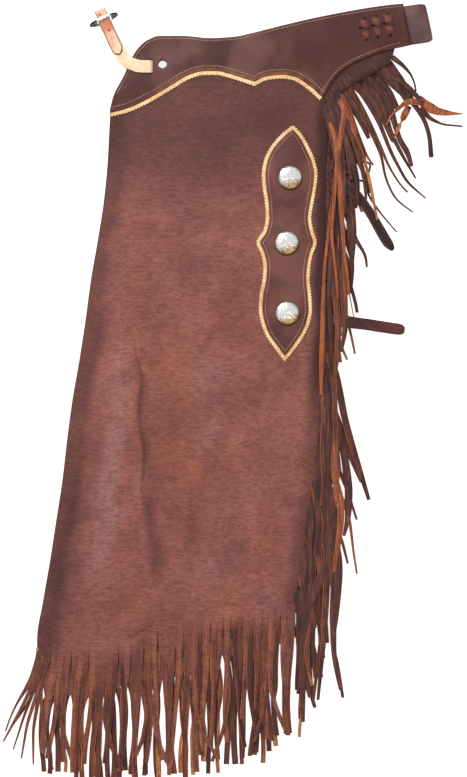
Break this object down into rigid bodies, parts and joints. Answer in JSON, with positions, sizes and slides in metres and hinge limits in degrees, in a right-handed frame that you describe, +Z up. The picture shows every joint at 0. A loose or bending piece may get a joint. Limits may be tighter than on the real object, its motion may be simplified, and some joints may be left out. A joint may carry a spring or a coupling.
{
  "type": "folded leather chaps",
  "caption": "Pair of short fringed western leather chaps folded in half and laid flat, with a scalloped yoke, laced belt, buckled front tie and a concho side panel.",
  "frame": {"origin": "middle of the bounding box, on the surface that the chaps lie on", "axes": "+Z up out of the near leg's face, +Y towards the waist, +X towards the side fringe at the back of the leg"},
  "size_m": [0.6006, 1.033, 0.0217],
  "materials": {
    "panel_leather": "satin, pebbled",
    "hidden_leather": "matte",
    "fringe_leather": "satin",
    "yoke_leather": "oiled satin",
    "belt_leather": "oiled satin",
    "tan_leather": "satin",
    "strap_leather": "oiled satin",
    "silver": "hammered polish",
    "nickel": "polished",
    "black_metal": "black lacquer"
  },
  "bodies": {
    "root": {"leg_panel": "panel_leather", "under_layers": "hidden_leather", "yoke": "yoke_leather", "far_yoke": "yoke_leather", "yoke_trim": "tan_leather", "belt_back": "belt_leather", "lacing_1": "belt_leather", "lacing_2": "belt_leather", "lacing_3": "belt_leather", "concho_trim": "tan_leather", "concho_plate": "yoke_leather", "concho_1": "silver", "concho_2": "silver", "concho_3": "silver", "hem_fringe": "fringe_leather", "under_hem_fringe": "fringe_leather", "side_fringe": "fringe_leather", "under_side_fringe": "fringe_leather", "front_strap": "tan_leather", "front_billet": "tan_leather", "front_buckle": "nickel", "leg_strap_upper": "strap_leather", "leg_strap_lower": "strap_leather", "leg_chape_upper": "strap_leather", "leg_buckle_upper": "black_metal"}
  },
  "joints": []
}
